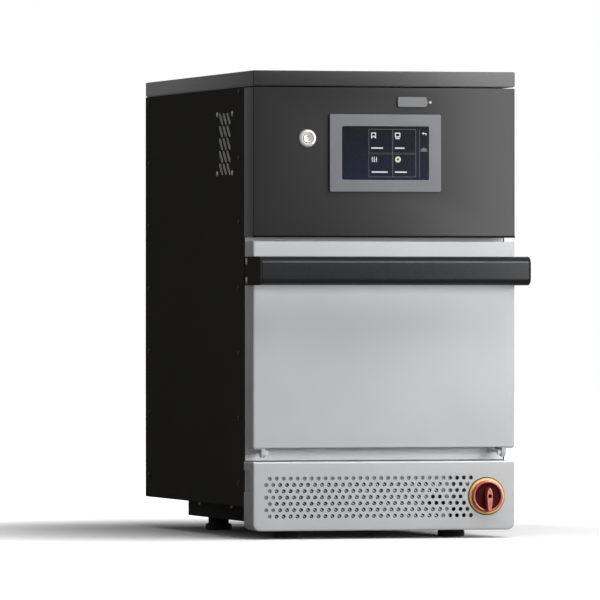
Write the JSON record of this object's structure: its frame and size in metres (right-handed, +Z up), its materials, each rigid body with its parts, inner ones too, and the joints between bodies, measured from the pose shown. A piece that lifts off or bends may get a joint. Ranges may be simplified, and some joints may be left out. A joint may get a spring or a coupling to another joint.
{
  "type": "countertop high-speed oven",
  "caption": "Tall countertop oven with a drop-down door and full-width handle, touch screen fascia, pull-off perforated filter panel and rotary main switch.",
  "frame": {"origin": "on the floor plane, under the middle of the part's overall box, from the handle's face to the gland's tip", "axes": "+Z up, +Y from the door to the back, +X to the right as seen from the front"},
  "size_m": [0.372, 0.678, 0.62],
  "materials": {
    "dark_paint": "fine textured powder coat, near black",
    "anthracite_paint": "fine textured powder coat, anthracite",
    "silver_paint": "smooth satin powder coat, silver grey",
    "handle_paint": "satin powder coat, black",
    "stainless": "brushed stainless steel",
    "zinc_sheet": "zinc plated sheet, matt",
    "bezel_plastic": "fine matt moulded plastic, mid grey",
    "screen_glass": "gloss touch panel",
    "button_steel": "turned stainless steel",
    "grey_rubber": "matt moulded rubber, grey",
    "black_rubber": "matt moulded rubber",
    "black_plastic": "moulded plastic, black",
    "white_plastic": "moulded plastic, off white",
    "red_plastic": "gloss moulded plastic, deep red",
    "yellow_plastic": "satin moulded plastic, yellow",
    "cordierite": "unglazed, matt",
    "mineral_wool": "pressed mineral wool board",
    "gasket_braid": "woven glass fibre rope",
    "filter_mesh": "expanded metal mesh",
    "heater_sheath": "heat tinted sheath",
    "copper_iron": "laminated core with varnished winding",
    "circuit_board": "solder masked board"
  },
  "bodies": {
    "housing": {"base_plate": "zinc_sheet", "air_intake_tray": "dark_paint", "front_left_foot": "black_rubber", "front_right_foot": "black_rubber", "rear_left_foot": "black_rubber", "rear_right_foot": "black_rubber", "right_side_panel": "dark_paint", "left_side_panel": "dark_paint", "rear_panel": "zinc_sheet", "top_cover": "anthracite_paint", "cable_gland": "black_plastic", "front_frame": "silver_paint", "control_fascia": "anthracite_paint", "display_bezel": "bezel_plastic", "touch_screen": "screen_glass", "display_module": "zinc_sheet", "power_button_ring": "button_steel", "usb_socket": "black_plastic", "usb_tether": "grey_rubber", "cavity_liner": "stainless", "cook_plate": "cordierite", "upper_jet_plate": "stainless", "cavity_insulation": "mineral_wool", "rear_fan_cover": "stainless", "fan_plenum": "stainless", "heater_element": "heater_sheath", "fan_motor": "zinc_sheet", "waveguide": "zinc_sheet", "magnetron": "zinc_sheet", "transformer": "copper_iron", "capacitor": "zinc_sheet", "control_board": "circuit_board", "cooling_fan_frame": "black_plastic", "right_hinge_bracket": "stainless", "left_hinge_bracket": "stainless", "switch_bracket": "zinc_sheet", "switch_body": "black_plastic", "switch_escutcheon": "yellow_plastic"},
    "door": {"door_skin": "silver_paint", "door_core": "mineral_wool", "door_inner_panel": "stainless", "door_gasket": "gasket_braid", "right_latch_hook": "stainless", "left_latch_hook": "stainless", "right_hinge_lug": "stainless", "left_hinge_lug": "stainless", "handle_bar": "handle_paint", "right_handle_arm": "handle_paint", "left_handle_arm": "handle_paint"},
    "filter_panel": {"filter_panel": "silver_paint", "air_filter": "filter_mesh"},
    "main_switch": {"switch_knob": "red_plastic"},
    "power_button": {"power_button_cap": "button_steel"},
    "usb_lid": {"usb_cover": "grey_rubber"},
    "air_fan": {"circulation_impeller": "stainless"},
    "cooling_fan": {"cooling_impeller": "white_plastic"}
  },
  "joints": [
    {"name": "door_hinge", "type": "hinge", "parent": "housing", "child": "door", "pos_m": [0, -0.273, 0.114], "axis": [1, 0, 0], "range_deg": [0, 90]},
    {"name": "filter_panel_slide", "type": "slide", "parent": "housing", "child": "filter_panel", "axis": [0, -1, 0], "range_m": [0, 0.08]},
    {"name": "main_switch_turn", "type": "hinge", "parent": "housing", "child": "main_switch", "pos_m": [0.1403, -0.281, 0.0557], "axis": [0, 1, 0], "range_deg": [-90, 0]},
    {"name": "power_button_press", "type": "slide", "parent": "housing", "child": "power_button", "axis": [0, 1, 0], "range_m": [0, 0.002], "stiffness_N_per_m": 400},
    {"name": "usb_cover_bend", "type": "hinge", "parent": "housing", "child": "usb_lid", "pos_m": [0.0595, -0.2818, 0.57925], "axis": [0, 0, 1], "range_deg": [0, 90]},
    {"name": "air_fan_spin", "type": "hinge", "parent": "housing", "child": "air_fan", "pos_m": [0, 0.099, 0.25], "axis": [0, 1, 0], "continuous": true},
    {"name": "cooling_fan_spin", "type": "hinge", "parent": "housing", "child": "cooling_fan", "pos_m": [-0.16, -0.1303, 0.5254], "axis": [1, 0, 0], "continuous": true}
  ]
}
